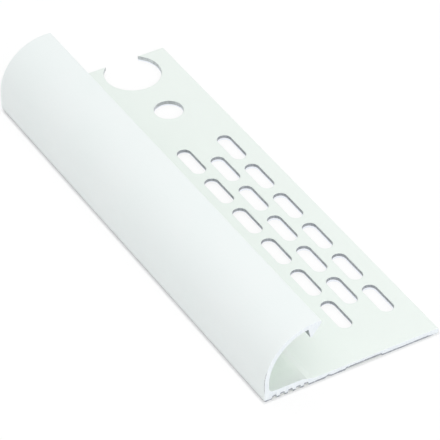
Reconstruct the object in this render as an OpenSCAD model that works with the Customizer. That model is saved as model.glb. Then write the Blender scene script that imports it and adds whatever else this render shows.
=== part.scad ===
// Round-edge tile trim: a short length sawn from an extruded aluminium profile with a white coat.
// The curved edge covers the raw edge of a tile, and the flat punched leg lies in the adhesive under it.
// X runs across the profile, Y along it and Z up from the bed. The origin is the middle of the underside.

/* [Overall] */
// Length between the sawn ends
length = 68; // [20:1:300]
// Width from the outer corner to the free edge of the leg
width = 25; // [23:0.5:40]
// Height from the bed to the crown of the curve
height = 9.6; // [9.2:0.1:14]

/* [Curved edge] */
// Outside radius of the curve
bend_r = 7; // [6:0.1:7.5]
// Thickness of the curved wall
wall = 0.65; // [0.5:0.05:1]
// Radius of the outer corner, where the curve stands on the bed
toe_r = 0.25; // [0.1:0.05:0.5]
// Radius inside, where the wall meets the base
root_r = 0.6; // [0.2:0.1:1]

/* [Head] */
// How far the head reaches past the crown, towards the tile
head_reach = 0.9; // [0.5:0.1:1.5]
// Depth of the head, from the crown down to the tip of its foot
head_drop = 2.1; // [1.6:0.1:3]
// How far the tip of the foot stands back from the nose
foot_setback = 1.2; // [0.8:0.1:1.6]
// Radius of the nose
nose_r = 0.25; // [0.1:0.05:0.35]
// Radius of the tip of the foot
foot_r = 0.17; // [0.1:0.01:0.25]
// How far the throat, between the wall and the foot, stands back from the crown
throat_setback = 1; // [0.8:0.1:1.3]

/* [Base and leg] */
// Thickness of the leg
leg_t = 0.8; // [0.7:0.05:1.5]
// Extra thickness of the base under the curve
base_extra = 0.5; // [0.2:0.05:0.8]
// Width of the thicker base, from the outer corner
base_w = 5.3; // [4:0.1:7]
// Width of the slope from the top of the base down to the leg
base_slope = 1.7; // [0.2:0.1:2]
// Radius along the free edge of the leg
edge_r = 0.2; // [0.1:0.05:0.4]

/* [Underside] */
// Number of keying grooves
groove_count = 5; // [1:1:6]
// Distance between keying grooves
groove_pitch = 1.12; // [1.1:0.01:1.3]
// Middle of the first groove, from the outer corner
groove_first = 1.38; // [1.2:0.01:1.6]
// Width of a groove at its mouth
groove_mouth = 0.55; // [0.3:0.05:0.7]
// Width of a groove at its root, which is wider so that adhesive locks in it
groove_root = 0.7; // [0.5:0.05:0.9]
// Depth of a groove
groove_depth = 0.35; // [0.2:0.05:0.6]
// Middle of the shallow score under the leg, from the outer corner
score_x = 9; // [8:0.1:10.5]
// Width of the score at its mouth
score_w = 0.9; // [0.4:0.1:1.2]
// Depth of the score
score_depth = 0.2; // [0.1:0.05:0.3]
// Start of the shallow relief under the leg, from the outer corner
relief_from = 11.4; // [11.2:0.1:13]
// Width of the shallow relief
relief_w = 5.4; // [3:0.1:8]
// Depth of the shallow relief
relief_depth = 0.2; // [0.1:0.05:0.4]

/* [Punched holes] */
// Middle of the punched band, from the outer corner
band_x = 18.6; // [17.5:0.1:18.8]
// Diameter of the small round hole
small_d = 4; // [2:0.1:6]
// Distance of the small round hole from the near end
small_y = 55.35; // [54:0.05:58]
// Diameter of the large round hole
large_d = 8; // [6:0.1:8.4]
// Distance of the large round hole from the near end
large_y = 65; // [64:0.1:70]
// Length of stock after which the punching repeats
repeat_pitch = 78; // [76:1:120]

/* [Keying slots] */
// Slots in each outer row
slot_count = 6; // [2:1:6]
// Width of a slot
slot_w = 1.9; // [1:0.1:2.2]
// Length of a slot, end to end
slot_l = 5.6; // [3:0.1:6.2]
// Distance between slots along a row
slot_pitch = 7.1; // [6.8:0.1:7.4]
// Distance between rows
row_gap = 3.05; // [2.8:0.05:3.2]
// Middle of the first slot from the near end
slot_first = 8.6; // [4:0.1:9]

/* [Hidden] */
$fn = 96;

// How far a cutting shape runs past what it cuts
past = 1;
// Steps in a small round stretch of an outline
round_steps = 6;
base_t = leg_t + base_extra;
bend_center = [bend_r, height - bend_r];
crown = [bend_r, height];
inner_r = bend_r - wall;
// Angle past the crown at which the round nose takes over from the curve
nose_angle = asin((head_reach - nose_r) / (bend_r - nose_r));
nose_center = bend_center + (bend_r - nose_r) * [sin(nose_angle), cos(nose_angle)];
foot_center = [nose_center.x - foot_setback, height - head_drop + foot_r];
throat = bend_center + [-throat_setback, sqrt(inner_r * inner_r - throat_setback * throat_setback)];

// Which way the straight side between two round ends faces. The side lies on the left of the way from a to b
// (side 1) or on the right (side -1)
function side_angle(a, a_r, b, b_r, side) =
    let (way = b - a) atan2(way.y, way.x) + side * acos((a_r - b_r) / norm(way));

// Points along a round stretch between two angles
function round_points(center, r, start, end) =
    [for (i = [0 : round_steps]) let (angle = start + (end - start) * i / round_steps)
        center + r * [cos(angle), sin(angle)]];

// What a round corner of radius r takes off a square one whose tip is at the origin, filling the first quadrant
module corner_waste(r) {
    difference() {
        translate([-past, -past]) square(r + past);
        translate([r, r]) circle(r);
    }
}

// The curved wall, from the upright side to the crown
module curve_section() {
    square([wall, bend_center.y]);
    intersection() {
        translate(bend_center)
            difference() {
                circle(bend_r);
                circle(inner_r);
            }
        translate([0, bend_center.y]) square(bend_r);
    }
}

// The head: a wedge that hangs from the end of the curve, with a round nose and a thin foot
module head_section() {
    face_angle = side_angle(nose_center, nose_r, foot_center, foot_r, 1);
    back_angle = side_angle(throat, 0, foot_center, foot_r, -1);
    back_way = [-sin(back_angle), cos(back_angle)];
    polygon(concat(
        [throat - back_way * wall / 2],
        round_points(foot_center, foot_r, back_angle, face_angle),
        round_points(nose_center, nose_r, face_angle, 90 - nose_angle),
        [crown]
    ));
}

// The base under the curve, the leg, and the round root between base and wall
module leg_section() {
    square([width, leg_t]);
    polygon([[0, 0], [base_w + base_slope, 0], [base_w + base_slope, leg_t], [base_w, base_t], [0, base_t]]);
    translate([wall, base_t])
        difference() {
            translate([-wall / 2, -base_extra]) square([root_r + wall / 2, root_r + base_extra]);
            translate([root_r, root_r]) circle(root_r);
        }
}

// The keying grooves, the score and the shallow relief in the underside
module underside_section() {
    for (i = [0 : groove_count - 1])
        translate([groove_first + i * groove_pitch, 0])
            polygon([
                [-groove_mouth / 2, -past], [groove_mouth / 2, -past], [groove_mouth / 2, 0],
                [groove_root / 2, groove_depth], [-groove_root / 2, groove_depth], [-groove_mouth / 2, 0]
            ]);
    translate([score_x, 0])
        polygon([
            [-score_w / 2, -past], [score_w / 2, -past], [score_w / 2, 0], [0, score_depth], [-score_w / 2, 0]
        ]);
    polygon([
        [relief_from, -past], [relief_from + relief_w, -past], [relief_from + relief_w, 0],
        [relief_from + relief_w - relief_depth, relief_depth],
        [relief_from + relief_depth, relief_depth], [relief_from, 0]
    ]);
}

// The whole profile, with the outer corner at the origin
module trim_section() {
    difference() {
        union() {
            curve_section();
            head_section();
            leg_section();
        }
        underside_section();
        corner_waste(toe_r);
        translate([width, 0]) mirror([1, 0]) corner_waste(edge_r);
        translate([width, leg_t]) mirror([1, 0]) mirror([0, 1]) corner_waste(edge_r);
    }
}

// A slot with round ends that lies along Y, centred on the origin
module slot_outline() {
    half_run = (slot_l - slot_w) / 2;
    square([slot_w, 2 * half_run], center = true);
    for (end = [-1, 1]) translate([0, end * half_run]) circle(slot_w / 2);
}

// One length of the punching: three staggered rows of slots, then a small and a large round hole
module punch_outline() {
    for (row = [-1, 1], i = [0 : slot_count - 1])
        translate([row * row_gap, slot_first + i * slot_pitch]) slot_outline();
    for (i = [1 : slot_count - 1])
        translate([0, slot_first + (i - 0.5) * slot_pitch]) slot_outline();
    translate([0, small_y]) circle(small_d / 2);
    translate([0, large_y]) circle(large_d / 2);
}

module trim() {
    color([0.93, 0.95, 0.94])
        translate([-width / 2, -length / 2, 0])
        difference() {
            translate([0, length, 0]) rotate([90, 0, 0]) linear_extrude(length) trim_section();
            for (start = [0 : repeat_pitch : length])
                translate([band_x, start, -past]) linear_extrude(base_t + 2 * past) punch_outline();
        }
}

trim();
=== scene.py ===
import math

import bmesh
import bpy
from mathutils import Matrix, Vector, geometry, noise


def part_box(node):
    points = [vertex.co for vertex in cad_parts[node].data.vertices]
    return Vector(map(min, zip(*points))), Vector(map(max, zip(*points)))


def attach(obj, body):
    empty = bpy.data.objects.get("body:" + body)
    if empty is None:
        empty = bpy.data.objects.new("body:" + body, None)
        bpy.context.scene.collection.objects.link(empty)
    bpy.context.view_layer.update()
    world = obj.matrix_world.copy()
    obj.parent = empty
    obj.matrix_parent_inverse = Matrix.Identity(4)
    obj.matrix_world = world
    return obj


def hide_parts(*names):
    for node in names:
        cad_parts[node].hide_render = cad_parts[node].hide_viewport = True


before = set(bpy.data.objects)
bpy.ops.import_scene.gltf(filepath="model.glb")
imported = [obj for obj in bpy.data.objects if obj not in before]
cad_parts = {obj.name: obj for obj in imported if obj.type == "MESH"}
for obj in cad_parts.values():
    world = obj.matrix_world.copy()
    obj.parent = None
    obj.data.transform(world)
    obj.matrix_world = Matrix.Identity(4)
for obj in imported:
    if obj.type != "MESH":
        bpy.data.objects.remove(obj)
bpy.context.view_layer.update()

# The profile. One aluminium extrusion: a die gives it the quarter-round edge, the hooked head, the grooved
# base and the flat leg in one go, and a saw cuts it square at both ends. Sizes are in millimetres from the
# outer corner at the near end: X runs across to the free edge, Y along and Z up.
MM = 0.001
corner, opposite = (Vector(end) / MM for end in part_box("trim"))
width, length, height = opposite - corner
bend_radius = 7.0
wall = 0.65
toe_radius = 0.25
root_radius = 0.6
leg_thickness = 0.8
base_thickness = 1.3
base_width = 5.3
base_slope = 1.7
edge_radius = 0.2
head_reach = 0.9
head_drop = 2.1
foot_setback = 1.2
nose_radius = 0.25
foot_radius = 0.17
throat_setback = 1.0
groove_count = 5
groove_pitch = 1.12
groove_first = 1.38
groove_mouth = 0.55
groove_root = 0.7
groove_depth = 0.35
score_middle = 9.0
score_width = 0.9
score_depth = 0.2
relief_start = 11.4
relief_end = 16.8
relief_depth = 0.2

bend = Vector((bend_radius, height - bend_radius))
inner_radius = bend_radius - wall
throat_turn = math.pi / 2 + math.asin(throat_setback / inner_radius)
throat = bend + inner_radius * Vector((math.cos(throat_turn), math.sin(throat_turn)))
nose_turn = math.asin((head_reach - nose_radius) / (bend_radius - nose_radius))
nose = bend + (bend_radius - nose_radius) * Vector((math.sin(nose_turn), math.cos(nose_turn)))
foot = Vector((nose.x - foot_setback, height - head_drop + foot_radius))

corner_step = math.radians(15)
curve_step = math.radians(2)
fewest_steps = 3


def arc(center, radius, start, end, step=corner_step):
    """Points along a round stretch of the section, between two angles."""
    count = max(fewest_steps, math.ceil(abs(end - start) / step))
    angles = [start + (end - start) * i / count for i in range(count + 1)]
    return [center + radius * Vector((math.cos(a), math.sin(a))) for a in angles]


def side_angle(a, a_radius, b, b_radius, side):
    """Which way the straight side that touches two round ends faces: left of a to b (1) or right (-1)."""
    way = b - a
    return math.atan2(way.y, way.x) + side * math.acos((a_radius - b_radius) / way.length)


def underside():
    """The toe's flat, the grooves that hold adhesive, and the leg's score and shallow relief."""
    points = [Vector((toe_radius, 0))]
    for i in range(groove_count):
        middle = groove_first + i * groove_pitch
        points += [
            Vector((middle - groove_mouth / 2, 0)),
            Vector((middle - groove_root / 2, groove_depth)),
            Vector((middle + groove_root / 2, groove_depth)),
            Vector((middle + groove_mouth / 2, 0)),
        ]
    return points + [
        Vector((score_middle - score_width / 2, 0)),
        Vector((score_middle, score_depth)),
        Vector((score_middle + score_width / 2, 0)),
        Vector((relief_start, 0)),
        Vector((relief_start + relief_depth, relief_depth)),
        Vector((relief_end - relief_depth, relief_depth)),
        Vector((relief_end, 0)),
    ]


def leg_and_base():
    """The free edge, the leg's top, the slope up to the base and the round into the curve's wall."""
    edge_low = Vector((width - edge_radius, edge_radius))
    edge_high = Vector((width - edge_radius, leg_thickness - edge_radius))
    root = Vector((wall + root_radius, base_thickness + root_radius))
    slope = [Vector((base_width + base_slope, leg_thickness)), Vector((base_width, base_thickness))]
    edge = arc(edge_low, edge_radius, -math.pi / 2, 0) + arc(edge_high, edge_radius, 0, math.pi / 2)
    return edge + slope + arc(root, root_radius, -math.pi / 2, -math.pi)


def curve_and_head():
    """The curve's inner face, the hooked head, and the curve's outer face down to the toe."""
    face = side_angle(nose, nose_radius, foot, foot_radius, 1)
    back = side_angle(throat, 0, foot, foot_radius, -1)
    crown = math.pi / 2 - nose_turn
    points = arc(bend, inner_radius, math.pi, throat_turn, curve_step)
    points += arc(foot, foot_radius, back, face) + arc(nose, nose_radius, face, crown)[:-1]
    points += arc(bend, bend_radius, crown, math.pi, curve_step)
    return points + arc(Vector((toe_radius, toe_radius)), toe_radius, math.pi, 1.5 * math.pi)[:-1]


corner_softness = 0.14
corner_share = 0.4
corner_points = 4
sharp_turn = math.radians(22)


def softened(points, radius):
    """Rounds each sharp corner, as the die and the coat's build-up do, over a share of its sides at most."""
    out = []
    for i, point in enumerate(points):
        before, after = points[i - 1] - point, points[(i + 1) % len(points)] - point
        turn = math.pi - before.angle(after)
        if turn < sharp_turn:
            out.append(point)
            continue
        reach = min(radius * math.tan(turn / 2), corner_share * before.length, corner_share * after.length)
        start, end = point + before.normalized() * reach, point + after.normalized() * reach
        for k in range(corner_points + 1):
            t = k / corner_points
            out.append(start * (1 - t) ** 2 + point * 2 * t * (1 - t) + end * t ** 2)
    return out


def stepped(points, step):
    """Cuts long straight runs into short ones, so that the sawn edge can wander."""
    out = []
    for i, point in enumerate(points):
        after = points[(i + 1) % len(points)]
        count = max(1, math.ceil((after - point).length / step))
        out += [point.lerp(after, k / count) for k in range(count)]
    return out


run_step = 0.25
outline = stepped(softened(underside() + leg_and_base() + curve_and_head(), corner_softness), run_step)
# Each ring near a sawn end: how deep it lies, and how far it is drawn in, evenly and by the cut's wander.
sawn_rings = [(0.0, 0.03, 0.03), (0.02, 0.012, 0.02), (0.06, 0.003, 0.008), (0.14, 0.0, 0.0)]
wander_grain = 2.6
ends_apart = 5


def ring(end, depth, even, wander):
    """One ring of the skin near a sawn end, where end is -1 for the near one and 1 for the far one."""
    out = []
    y = depth if end < 0 else length - depth
    for i, point in enumerate(outline):
        along = (outline[(i + 1) % len(outline)] - outline[i - 1]).normalized()
        spot = Vector((point.x * wander_grain, end * ends_apart, point.y * wander_grain))
        swing = 0.5 + 0.5 * noise.noise(spot)
        moved = point + (even + wander * swing) * Vector((-along.y, along.x))
        out.append(Vector((moved.x, y, moved.y)))
    return out


fill_inside = 1
join_within = 1e-7


def skin(name, rings, flat):
    """A closed mesh through rings of equally many points, with end caps that lie flat along two axes."""
    bm = bmesh.new()
    rows = [[bm.verts.new(p) for p in points] for points in rings]
    for row, after in zip(rows, rows[1:]):
        for i in range(len(row)):
            k = (i + 1) % len(row)
            bm.faces.new((row[i], row[k], after[k], after[i]))
    for row in (rows[0], rows[-1]):
        shape = [Vector((getattr(v.co, flat[0]), getattr(v.co, flat[1]))) for v in row]
        cap = geometry.delaunay_2d_cdt(shape, [], [list(range(len(row)))], fill_inside, join_within)
        for face in cap[2]:
            bm.faces.new([row[cap[3][k][0]] for k in face])
    bmesh.ops.recalc_face_normals(bm, faces=bm.faces)
    mesh = bpy.data.meshes.new(name)
    bm.to_mesh(mesh)
    bm.free()
    piece = bpy.data.objects.new(name, mesh)
    bpy.context.scene.collection.objects.link(piece)
    return piece


near_rings = [ring(-1, *sizes) for sizes in sawn_rings]
far_rings = [ring(1, *sizes) for sizes in reversed(sawn_rings)]
trim = skin("trim_profile", near_rings + far_rings, "xz")

# The punching. A press drives round and round-ended punches down through the leg: the top edge is drawn in,
# the upper wall is rubbed by the punch, and the lower wall tears away a little wider.
band = 18.6
small_diameter = 3.95
small_place = 55.35
small_steps = 32
large_diameter = 7.8
large_place = 65.0
large_toward_curve = 0.1
large_steps = 48
slot_count = 6
slot_width = 1.9
slot_length = 5.6
slot_pitch = 7.1
slot_first = 8.6
slot_steps = 14
row_gap = 3.05
draw_in = 0.13
draw_in_turns = (0, 0.35, 0.7, 1.05, 1.35)
mouth_share = 1.5
tear_out = 0.04
tear_top = 0.34
overshoot = 0.3


def punch(x, y, diameter, run, steps):
    """A round-ended punch that stands in the leg, with its run along Y, as rings up its height."""
    levels = [(-overshoot, tear_out), (0, tear_out), (tear_top, 0)]
    for turn in draw_in_turns:
        levels.append((leg_thickness - draw_in * (1 - math.sin(turn)), draw_in * (1 - math.cos(turn))))
    levels.append((leg_thickness + overshoot, draw_in * mouth_share))
    rings = []
    for z, wider in levels:
        radius = diameter / 2 + wider
        # A slot's half rounds keep both their ends, and a round hole's share them.
        half = [math.pi * i / steps for i in range(steps + (run > 0))]
        points = [(x + radius * math.cos(a), y + run / 2 + radius * math.sin(a), z) for a in half]
        points += [(x - radius * math.cos(a), y - run / 2 - radius * math.sin(a), z) for a in half]
        rings.append([Vector(p) for p in points])
    return skin("punch", rings, "xy")


punches = [
    punch(band, small_place, small_diameter, 0, small_steps),
    punch(band - large_toward_curve, large_place, large_diameter, 0, large_steps),
]
for row in (-1, 0, 1):
    for i in range(slot_count if row else slot_count - 1):
        place = slot_first + slot_pitch * (i if row else i + 0.5)
        punches.append(punch(band + row * row_gap, place, slot_width, slot_length - slot_width, slot_steps))

tools = bmesh.new()
for piece in punches:
    tools.from_mesh(piece.data)
    bpy.data.objects.remove(piece)
tool_mesh = bpy.data.meshes.new("punch_tools")
tools.to_mesh(tool_mesh)
tools.free()
tool = bpy.data.objects.new("punch_tools", tool_mesh)
bpy.context.scene.collection.objects.link(tool)
cut = trim.modifiers.new("punching", "BOOLEAN")
cut.operation = "DIFFERENCE"
cut.solver = "MANIFOLD"
cut.object = tool
bpy.context.view_layer.update()
punched = bpy.data.meshes.new_from_object(trim.evaluated_get(bpy.context.evaluated_depsgraph_get()))
trim.modifiers.clear()
trim.data = punched
bpy.data.objects.remove(tool)

# The cut leaves needle-thin triangles round the holes, so the level faces are joined up afresh.
level_within = 1e-5
bm = bmesh.new()
bm.from_mesh(punched)
bmesh.ops.triangulate(bm, faces=bm.faces)
level_faces = []
for face in bm.faces:
    heights = [vert.co.z for vert in face.verts]
    if max(heights) - min(heights) < level_within:
        level_faces.append(face)
level = set(level_faces)
level_edges = [edge for edge in bm.edges if level.issuperset(edge.link_faces)]
bmesh.ops.beautify_fill(bm, faces=level_faces, edges=level_edges)
bmesh.ops.recalc_face_normals(bm, faces=bm.faces)
bm.to_mesh(punched)
bm.free()

# The coat and the bare metal. White powder is baked on before the length is punched and sawn, so those cuts
# are bare. It lies thick on the curve, thinner on the leg and sparse in the hollow. Painted shade darkens
# the hollow towards the ends, the throat behind the head and a line along the toe where the part stands on
# the table, and the coat is chipped at the near end.


class Tint:
    """One value, colour or vector in a finish, with the operators that a finish is worked out with."""

    def __init__(self, tree, socket=None):
        self.tree = tree
        self.socket = socket

    def made(self, kind, settings, sockets, out=0):
        """A node of a kind, with its settings, then the values or links of its sockets."""
        node = self.tree.nodes.new(kind)
        for name, value in settings.items():
            setattr(node, name, value)
        for name, value in sockets.items():
            if isinstance(value, Tint):
                self.tree.links.new(value.socket, node.inputs[name])
            else:
                node.inputs[name].default_value = value
        return Tint(self.tree, node.outputs[out] if node.outputs else None)

    def maths(self, operation, *values):
        return self.made("ShaderNodeMath", {"operation": operation}, dict(enumerate(values)))

    def __add__(self, other):
        return self.maths("ADD", self, other)

    def __sub__(self, other):
        return self.maths("SUBTRACT", self, other)

    def __rsub__(self, other):
        return self.maths("SUBTRACT", other, self)

    def __mul__(self, other):
        return self.maths("MULTIPLY", self, other)

    def __truediv__(self, other):
        return self.maths("DIVIDE", self, other)

    def __rtruediv__(self, other):
        return self.maths("DIVIDE", other, self)

    def __abs__(self):
        return self.maths("ABSOLUTE", self)

    __radd__ = __add__
    __rmul__ = __mul__

    def whole(self):
        """The nearest whole number."""
        return self.maths("ROUND", self)

    def least(self, other):
        return self.maths("MINIMUM", self, other)

    def most(self, other):
        return self.maths("MAXIMUM", self, other)

    def rise(self, start, end):
        """0 at start, 1 at end and even between them; it falls where end is below start."""
        sockets = {"Value": self, "From Min": start, "From Max": end}
        return self.made("ShaderNodeMapRange", {"clamp": True}, sockets)

    def between(self, first, second):
        """The first colour where this value is 0, and the second where it is 1."""
        sockets = {"Factor": self, "A": first, "B": second}
        return self.made("ShaderNodeMix", {"data_type": "RGBA"}, sockets, "Result")

    def axis(self, name):
        return self.made("ShaderNodeSeparateXYZ", {}, {"Vector": self}, name)

    def grain(self, swings, detail, strength):
        """Noise at this place, from 0 to 1, with so many swings a millimetre along X, Y and Z."""
        stretched = self.made("ShaderNodeVectorMath", {"operation": "MULTIPLY"}, {0: self, 1: swings})
        sockets = {"Vector": stretched, "Scale": 1.0, "Detail": detail, "Roughness": strength}
        return self.made("ShaderNodeTexNoise", {}, sockets, "Fac")

    def bumps(self, depth):
        """The normal that this height gives, where 1 stands so many millimetres high."""
        return self.made("ShaderNodeBump", {}, {"Distance": depth * MM, "Height": self})


def emptied(owner):
    """The start of a material's or a world's nodes, without the ones that it comes with."""
    owner.use_nodes = True
    owner.node_tree.nodes.clear()
    return Tint(owner.node_tree)


def finish(name, looks):
    """A material from a function that takes the place in millimetres and gives its shader's sockets."""
    material = bpy.data.materials.new(name)
    start = emptied(material)
    place = start.made("ShaderNodeTexCoord", {}, {}, "Object")
    to_millimetres = {0: place, 1: (1 / MM,) * 3, 2: -corner}
    place = start.made("ShaderNodeVectorMath", {"operation": "MULTIPLY_ADD"}, to_millimetres)
    shader = start.made("ShaderNodeBsdfPrincipled", {}, looks(place))
    start.made("ShaderNodeOutputMaterial", {}, {"Surface": shader})
    return material


# Tones come in pairs, which a grain blends. A grain is its swings a millimetre along X, Y and Z, how many
# finer layers it has and how strong they are. A pair of places is where a mark ends and where it is full.
thick_coat = ((0.838, 0.898, 0.888, 1), (0.876, 0.912, 0.910, 1))
thin_coat = ((0.829, 0.890, 0.852, 1), (0.852, 0.910, 0.874, 1))
sparse_coat = ((0.824, 0.899, 0.845, 1), (0.856, 0.926, 0.877, 1))
# A grey for metal bared by chips, also painted as shade along the toe and at the hollow's ends.
bare_metal_and_shade = (0.46, 0.48, 0.50, 1)
chip_and_toe_metallic = 0.5
cloud_grain = ((0.12, 0.12, 0.12), 3, 0.5)
peel_grain = ((1.7, 1.7, 1.7), 2, 0.5)
pull_grain = ((2.4, 0.045, 2.4), 3, 0.5)
pull_share = 0.6
peel_height = 0.012
satin = 0.36
satin_pull = 0.08
coat_specular = 0.45
ragged_grain = ((0.5, 0.26, 0.5), 3, 0.5)
crumb_grain = ((3.2, 3.2, 3.2), 4, 0.7)
toe_up = (0.15, 0.05)
toe_across = (0.5, 0.4)
toe_ragged = 0.12
toe_crumbs = 0.1
chip_across = (0.7, 0.4)
chip_foot = (1.2, 1.8)
chip_top = (5.0, 4.2)
chip_crumbs = (0.3, 0.6)
chip_reach = 0.16
chip_edge = (0.02, 0.0)
# The hollow's coat is painted darker towards the ends as shade: how much, and where that shade starts and is
# full.
hollow_end_shade = 0.31
end_shade_along = (3.0, 0.0)


def coat(place, tones, end_shade=0):
    """Satin powder coat with a fine peel and a faint pull along the length, a painted shade line along the
    toe, and painted shade by the ends.
    """
    across, along, up = (place.axis(name) for name in "XYZ")
    cloud = place.grain(*cloud_grain)
    peel = place.grain(*peel_grain)
    pull = place.grain(*pull_grain)
    ragged = place.grain(*ragged_grain)
    crumbs = place.grain(*crumb_grain)
    # The toe's grey line is painted shade, where the part stands on the table.
    toe_shade = (up - toe_ragged * ragged - toe_crumbs * crumbs).rise(*toe_up) * across.rise(*toe_across)
    chipped = across.rise(*chip_across) * up.rise(*chip_foot) * up.rise(*chip_top)
    chip = (along - chip_reach * chipped * crumbs.rise(*chip_crumbs)).rise(*chip_edge)
    chip_and_toe_shade = toe_shade.most(chip)
    paint = cloud.between(*tones)
    # Painted shade: the hollow darkens towards each end.
    if end_shade:
        from_end = along.least(length - along)
        paint = (end_shade * from_end.rise(*end_shade_along)).between(paint, bare_metal_and_shade)
    return {
        "Base Color": chip_and_toe_shade.between(paint, bare_metal_and_shade),
        "Metallic": chip_and_toe_metallic * chip_and_toe_shade,
        "Roughness": satin + satin_pull * pull,
        "Specular IOR Level": coat_specular,
        "Normal": (peel + pull_share * pull).bumps(peel_height),
    }


sawn_tones = ((0.82, 0.87, 0.925, 1), (0.95, 0.99, 1.0, 1))
stroke_grain = ((6.5, 0, 0.6), 4, 0.65)
stroke_spread = (0.3, 0.7)
stroke_height = 0.02
# The ragged dark band along the sawn end's lower edge, over the grooves, score and relief, is painted shade.
bottom_shade_tones = ((0.27, 0.29, 0.33, 1), (0.42, 0.44, 0.48, 1))
bottom_shade_height = 0.22
bottom_shade_softness = 0.06
bottom_shade_wander = 0.36
bottom_shade_grain = ((1.9, 0, 1.1), 5, 0.7)
bottom_shade_fade = (width - 1.6, width - 0.6)
bottom_shade_matt = 0.6
tear_grain = ((2.6, 0, 2.6), 3, 0.6)
tear_spread = (0.35, 0.65)
tear_share = 0.5
sawn_roughness = 0.34
tear_roughness = 0.12
groove_sides = (0.36, 0.22)


def sawn(place):
    """Sawn end: bright metal with fine strokes, and a ragged dark band of painted shade along its lower
    edge.
    """
    across, up = place.axis("X"), place.axis("Z")
    groove = (across - groove_first) / groove_pitch
    nearest = groove.whole().most(0.0).least(groove_count - 1.0)
    edge = groove_depth * abs(groove - nearest).rise(*groove_sides)
    score = score_depth * abs(across - score_middle).rise(score_width / 2, 0)
    relief = across.rise(relief_start, relief_start + relief_depth)
    relief = relief_depth * relief * across.rise(relief_end, relief_end - relief_depth)
    wander = bottom_shade_wander * (place.grain(*bottom_shade_grain) - 0.5)
    above = up - edge - score - relief + bottom_shade_height * across.rise(*bottom_shade_fade) + wander
    # Painted shade where the end stands on the table and under the grooves; it stops before the free edge.
    bottom_shade = above.rise(bottom_shade_height + bottom_shade_softness, bottom_shade_height)
    strokes = place.grain(*stroke_grain)
    tear = place.grain(*tear_grain)
    bright = strokes.rise(*stroke_spread).between(*sawn_tones)
    dark = tear.rise(*tear_spread).between(*bottom_shade_tones)
    return {
        "Base Color": bottom_shade.between(bright, dark),
        "Metallic": 1 - bottom_shade_matt * bottom_shade,
        "Roughness": sawn_roughness + tear_roughness * tear,
        "Normal": (strokes + tear_share * tear).bumps(stroke_height),
    }


# The dark upper band of each punched wall is painted shade. The narrow slots are painted darkest, the round
# holes' band reaches deeper and is lighter, the large one lightest, and the small one's sides towards the
# curve and the free edge are painted a little lighter, as light.
slot_wall_shade = ((0.27, 0.29, 0.32, 1), (0.43, 0.45, 0.48, 1))
small_wall_shade = ((0.35, 0.375, 0.38, 1), (0.48, 0.51, 0.515, 1))
large_wall_shade = ((0.455, 0.485, 0.495, 1), (0.62, 0.66, 0.67, 1))
torn_metal_and_side_light = (0.90, 0.93, 0.98, 1)
slot_rub_depth = 0.42
round_rub_depth = 0.54
round_along = (50.0, 50.5)
large_along = (59.0, 59.5)
side_painted_light = 0.38
free_side = (1.5, 1.95)
curve_side = (-0.2, -1.4)
drag_grain = ((4.5, 4.5, 0.4), 3, 0.6)
drag_spread = (0.35, 0.65)
drag_height = 0.008
tear_line_grain = ((0.9, 0.9, 0), 2, 0.5)
tear_line_wander = 0.12
tear_line_softness = 0.08
rubbed_roughness = 0.45
torn_roughness = 0.25
rub_metallic = 0.3


def punched_through(place):
    """Punched wall: painted dark as shade where the punch slid past, and bright where the metal tore away
    below.
    """
    across, along, up = (place.axis(name) for name in "XYZ")
    drag = place.grain(*drag_grain)
    shade = drag.rise(*drag_spread)
    rounds = along.rise(*round_along)
    rub_end = leg_thickness - slot_rub_depth - (round_rub_depth - slot_rub_depth) * rounds
    wander = tear_line_wander * (place.grain(*tear_line_grain) - 0.5)
    torn = (up + wander - rub_end).rise(0, -tear_line_softness)
    from_middle = across - band
    sides = from_middle.rise(*free_side).most(from_middle.rise(*curve_side))
    # The small hole's sides are painted lighter, as light.
    small_tone = (side_painted_light * sides).between(shade.between(*small_wall_shade), torn_metal_and_side_light)
    tone = rounds.between(shade.between(*slot_wall_shade), small_tone)
    tone = along.rise(*large_along).between(tone, shade.between(*large_wall_shade))
    return {
        "Base Color": torn.between(tone, torn_metal_and_side_light),
        "Metallic": rub_metallic + (1 - rub_metallic) * torn,
        "Roughness": rubbed_roughness + (torn_roughness - rubbed_roughness) * torn,
        "Normal": drag.bumps(drag_height),
    }


THICK, THIN, SPARSE, SAWN, PUNCHED_AND_THROAT = range(5)
finishes = (
    ("thick_white_coat", lambda place: coat(place, thick_coat)),
    ("thin_white_coat", lambda place: coat(place, thin_coat)),
    ("sparse_white_coat", lambda place: coat(place, sparse_coat, hollow_end_shade)),
    ("sawn_metal", sawn),
    ("punched_metal_and_throat_shade", punched_through),
)
trim.data.materials.clear()
for name, looks in finishes:
    trim.data.materials.append(finish(name, looks))

# Which finish a face has is told by where its middle lies and which way it faces.
punch_reach = large_diameter / 2 + 2 * draw_in
throat_shade_reach = 1.3
slope_sparse = 0.65
slope_fall = 0.2
off_curve = 0.1
faces_end = 0.5
faces_sideways = 0.65
faces_curve = 0.3
for face in trim.data.polygons:
    middle, out = face.center, face.normal
    from_end = min(middle.y, length - middle.y)
    from_bend = (Vector((middle.x, middle.z)) - bend).length
    on_side = middle.z < bend.y and middle.x < toe_radius / 2
    on_curve = middle.z > bend.y and from_bend > bend_radius - off_curve and middle.x < bend.x + head_reach
    inside = from_bend < inner_radius + off_curve and middle.z > base_thickness - slope_fall
    from_throat = (Vector((middle.x, middle.z)) - throat).length
    if from_end < sawn_rings[1][0] and abs(out.y) > faces_end:
        face.material_index = SAWN
    elif abs(middle.x - band) < punch_reach and abs(out.z) < faces_sideways and middle.z < leg_thickness:
        face.material_index = PUNCHED_AND_THROAT
    elif on_side or on_curve:
        face.material_index = THICK
    # The throat behind the head takes the punched walls' dark finish as painted shade.
    elif inside and from_throat < throat_shade_reach and out.x < faces_curve:
        face.material_index = PUNCHED_AND_THROAT
    elif inside and middle.x < base_width + slope_sparse:
        face.material_index = SPARSE
    else:
        face.material_index = THIN

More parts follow.
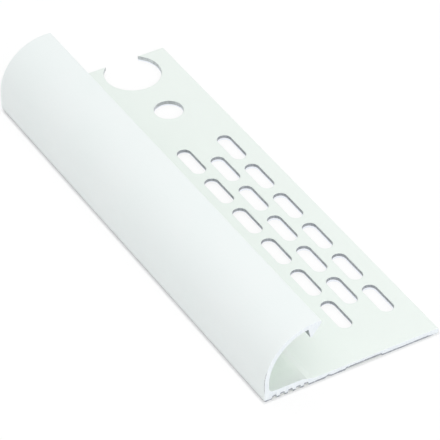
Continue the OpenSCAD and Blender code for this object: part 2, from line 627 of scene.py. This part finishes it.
crease = math.radians(38)
trim.data.transform(Matrix.Translation(corner * MM) @ Matrix.Scale(MM, 4))
trim.data.shade_smooth()
trim.data.set_sharp_from_angle(angle=crease)
even = trim.modifiers.new("even_normals", "WEIGHTED_NORMAL")
even.keep_sharp = True
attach(trim, "root")
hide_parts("trim")

# The studio. A plain white table under a white surround that is a touch brighter overhead, with two soft
# boxes past the near end and one past the far end, which light the part but don't show in its gloss. The
# table shows white where it is seen, and keeps a faint shadow and a thin dark line round the part.
floor_half = 3.0
floor_gap = 0.02
bm = bmesh.new()
bmesh.ops.create_grid(bm, x_segments=1, y_segments=1, size=floor_half)
floor_mesh = bpy.data.meshes.new("table_top")
bm.to_mesh(floor_mesh)
bm.free()
floor = bpy.data.objects.new("table_top", floor_mesh)
floor.location.z = (corner.z - floor_gap) * MM
bpy.context.scene.collection.objects.link(floor)


def seen(start):
    """1 for what the camera sees, straight, mirrored or through glass, and 0 for light on its way."""
    kinds = ("Is Camera Ray", "Is Glossy Ray", "Is Transmission Ray")
    camera, glossy, through = (start.made("ShaderNodeLightPath", {}, {}, kind) for kind in kinds)
    return camera.most(glossy).most(through)


table_white = 1.01
paper_tone = (0.9, 0.9, 0.9, 1)
shadow_share = 0.18
contact_share = 0.8
contact_outside = (0.35, 0.175)
contact_under = (-0.4, -0.3)
contact_far_fade = (-length, 1 - length)
table_paint = bpy.data.materials.new("table_paint")
start = emptied(table_paint)
place = start.made("ShaderNodeTexCoord", {}, {}, "Object")
sideways = abs(place.axis("X") / MM) - width / 2
past_near_end = 0 - place.axis("Y") / MM - length / 2
outside = sideways.most(past_near_end)
from_below = start.made("ShaderNodeNewGeometry", {}, {}, "Backfacing")
contact = outside.rise(*contact_outside) * outside.rise(*contact_under)
contact = contact_share * contact * past_near_end.rise(*contact_far_fade) * (1 - from_below)
paper = start.made("ShaderNodeBsdfDiffuse", {}, {"Color": paper_tone})
shaded = start.made("ShaderNodeBsdfDiffuse", {}, {"Color": (shadow_share, shadow_share, shadow_share, 1)})
glow = start.made("ShaderNodeEmission", {}, {"Color": (1, 1, 1, 1), "Strength": table_white - shadow_share})
lit = start.made("ShaderNodeAddShader", {}, {0: shaded, 1: glow})
lit = start.made("ShaderNodeMixShader", {}, {0: contact, 1: lit, 2: paper})
mixed = start.made("ShaderNodeMixShader", {}, {0: seen(start), 1: paper, 2: lit})
start.made("ShaderNodeOutputMaterial", {}, {"Surface": mixed})
floor_mesh.materials.append(table_paint)

horizon = 0.715
overhead = 0.735
world = bpy.data.worlds.new("white_surround")
bpy.context.scene.world = world
start = emptied(world)
low_light, high_light, white = (
    start.made("ShaderNodeBackground", {}, {"Color": (1, 1, 1, 1), "Strength": strength})
    for strength in (horizon, overhead, 1.0)
)
lift = start.made("ShaderNodeTexCoord", {}, {}, "Generated").axis("Z")
light = start.made("ShaderNodeMixShader", {}, {0: lift.most(0.0), 1: low_light, 2: high_light})
mixed = start.made("ShaderNodeMixShader", {}, {0: seen(start), 1: light, 2: white})
start.made("ShaderNodeOutputWorld", {}, {"Surface": mixed})

# Each soft box: its name, its way round from +X and its lift over the table in degrees, and its power.
soft_boxes = (("near_low_box", 270, 25, 0.5), ("near_high_box", 270, 55, 0.43), ("far_box", 90, 55, 0.265))
box_reach = 0.47
box_size = 0.4
for name, turn, tilt, power in soft_boxes:
    lamp = bpy.data.lights.new(name, "AREA")
    lamp.shape = "SQUARE"
    lamp.size = box_size
    lamp.energy = power
    box = bpy.data.objects.new(name, lamp)
    turn, tilt = math.radians(turn), math.radians(tilt)
    way = Vector((math.cos(turn) * math.cos(tilt), math.sin(turn) * math.cos(tilt), math.sin(tilt)))
    box.location = box_reach * way
    box.rotation_euler = (-way).to_track_quat("-Z", "Y").to_euler()
    box.visible_camera = False
    box.visible_glossy = False
    bpy.context.scene.collection.objects.link(box)

# The camera stands where the photograph was taken from: above the part, past its near end and on the side of
# the curve. Its place is in millimetres from the middle of the underside.
camera_place = (-161.67, -275.78, 258.64)
camera_dip = 39.056
camera_turn = 30.598
camera_data = bpy.data.cameras.new("camera")
camera_data.lens = 262.09
camera_data.sensor_width = 36
camera_data.clip_start = 0.01
camera = bpy.data.objects.new("camera", camera_data)
camera.location = Vector(camera_place) * MM
camera.rotation_euler = (math.radians(90 - camera_dip), 0, math.radians(-camera_turn))
bpy.context.scene.collection.objects.link(camera)
bpy.context.scene.camera = camera
bpy.context.scene.view_settings.view_transform = "Standard"
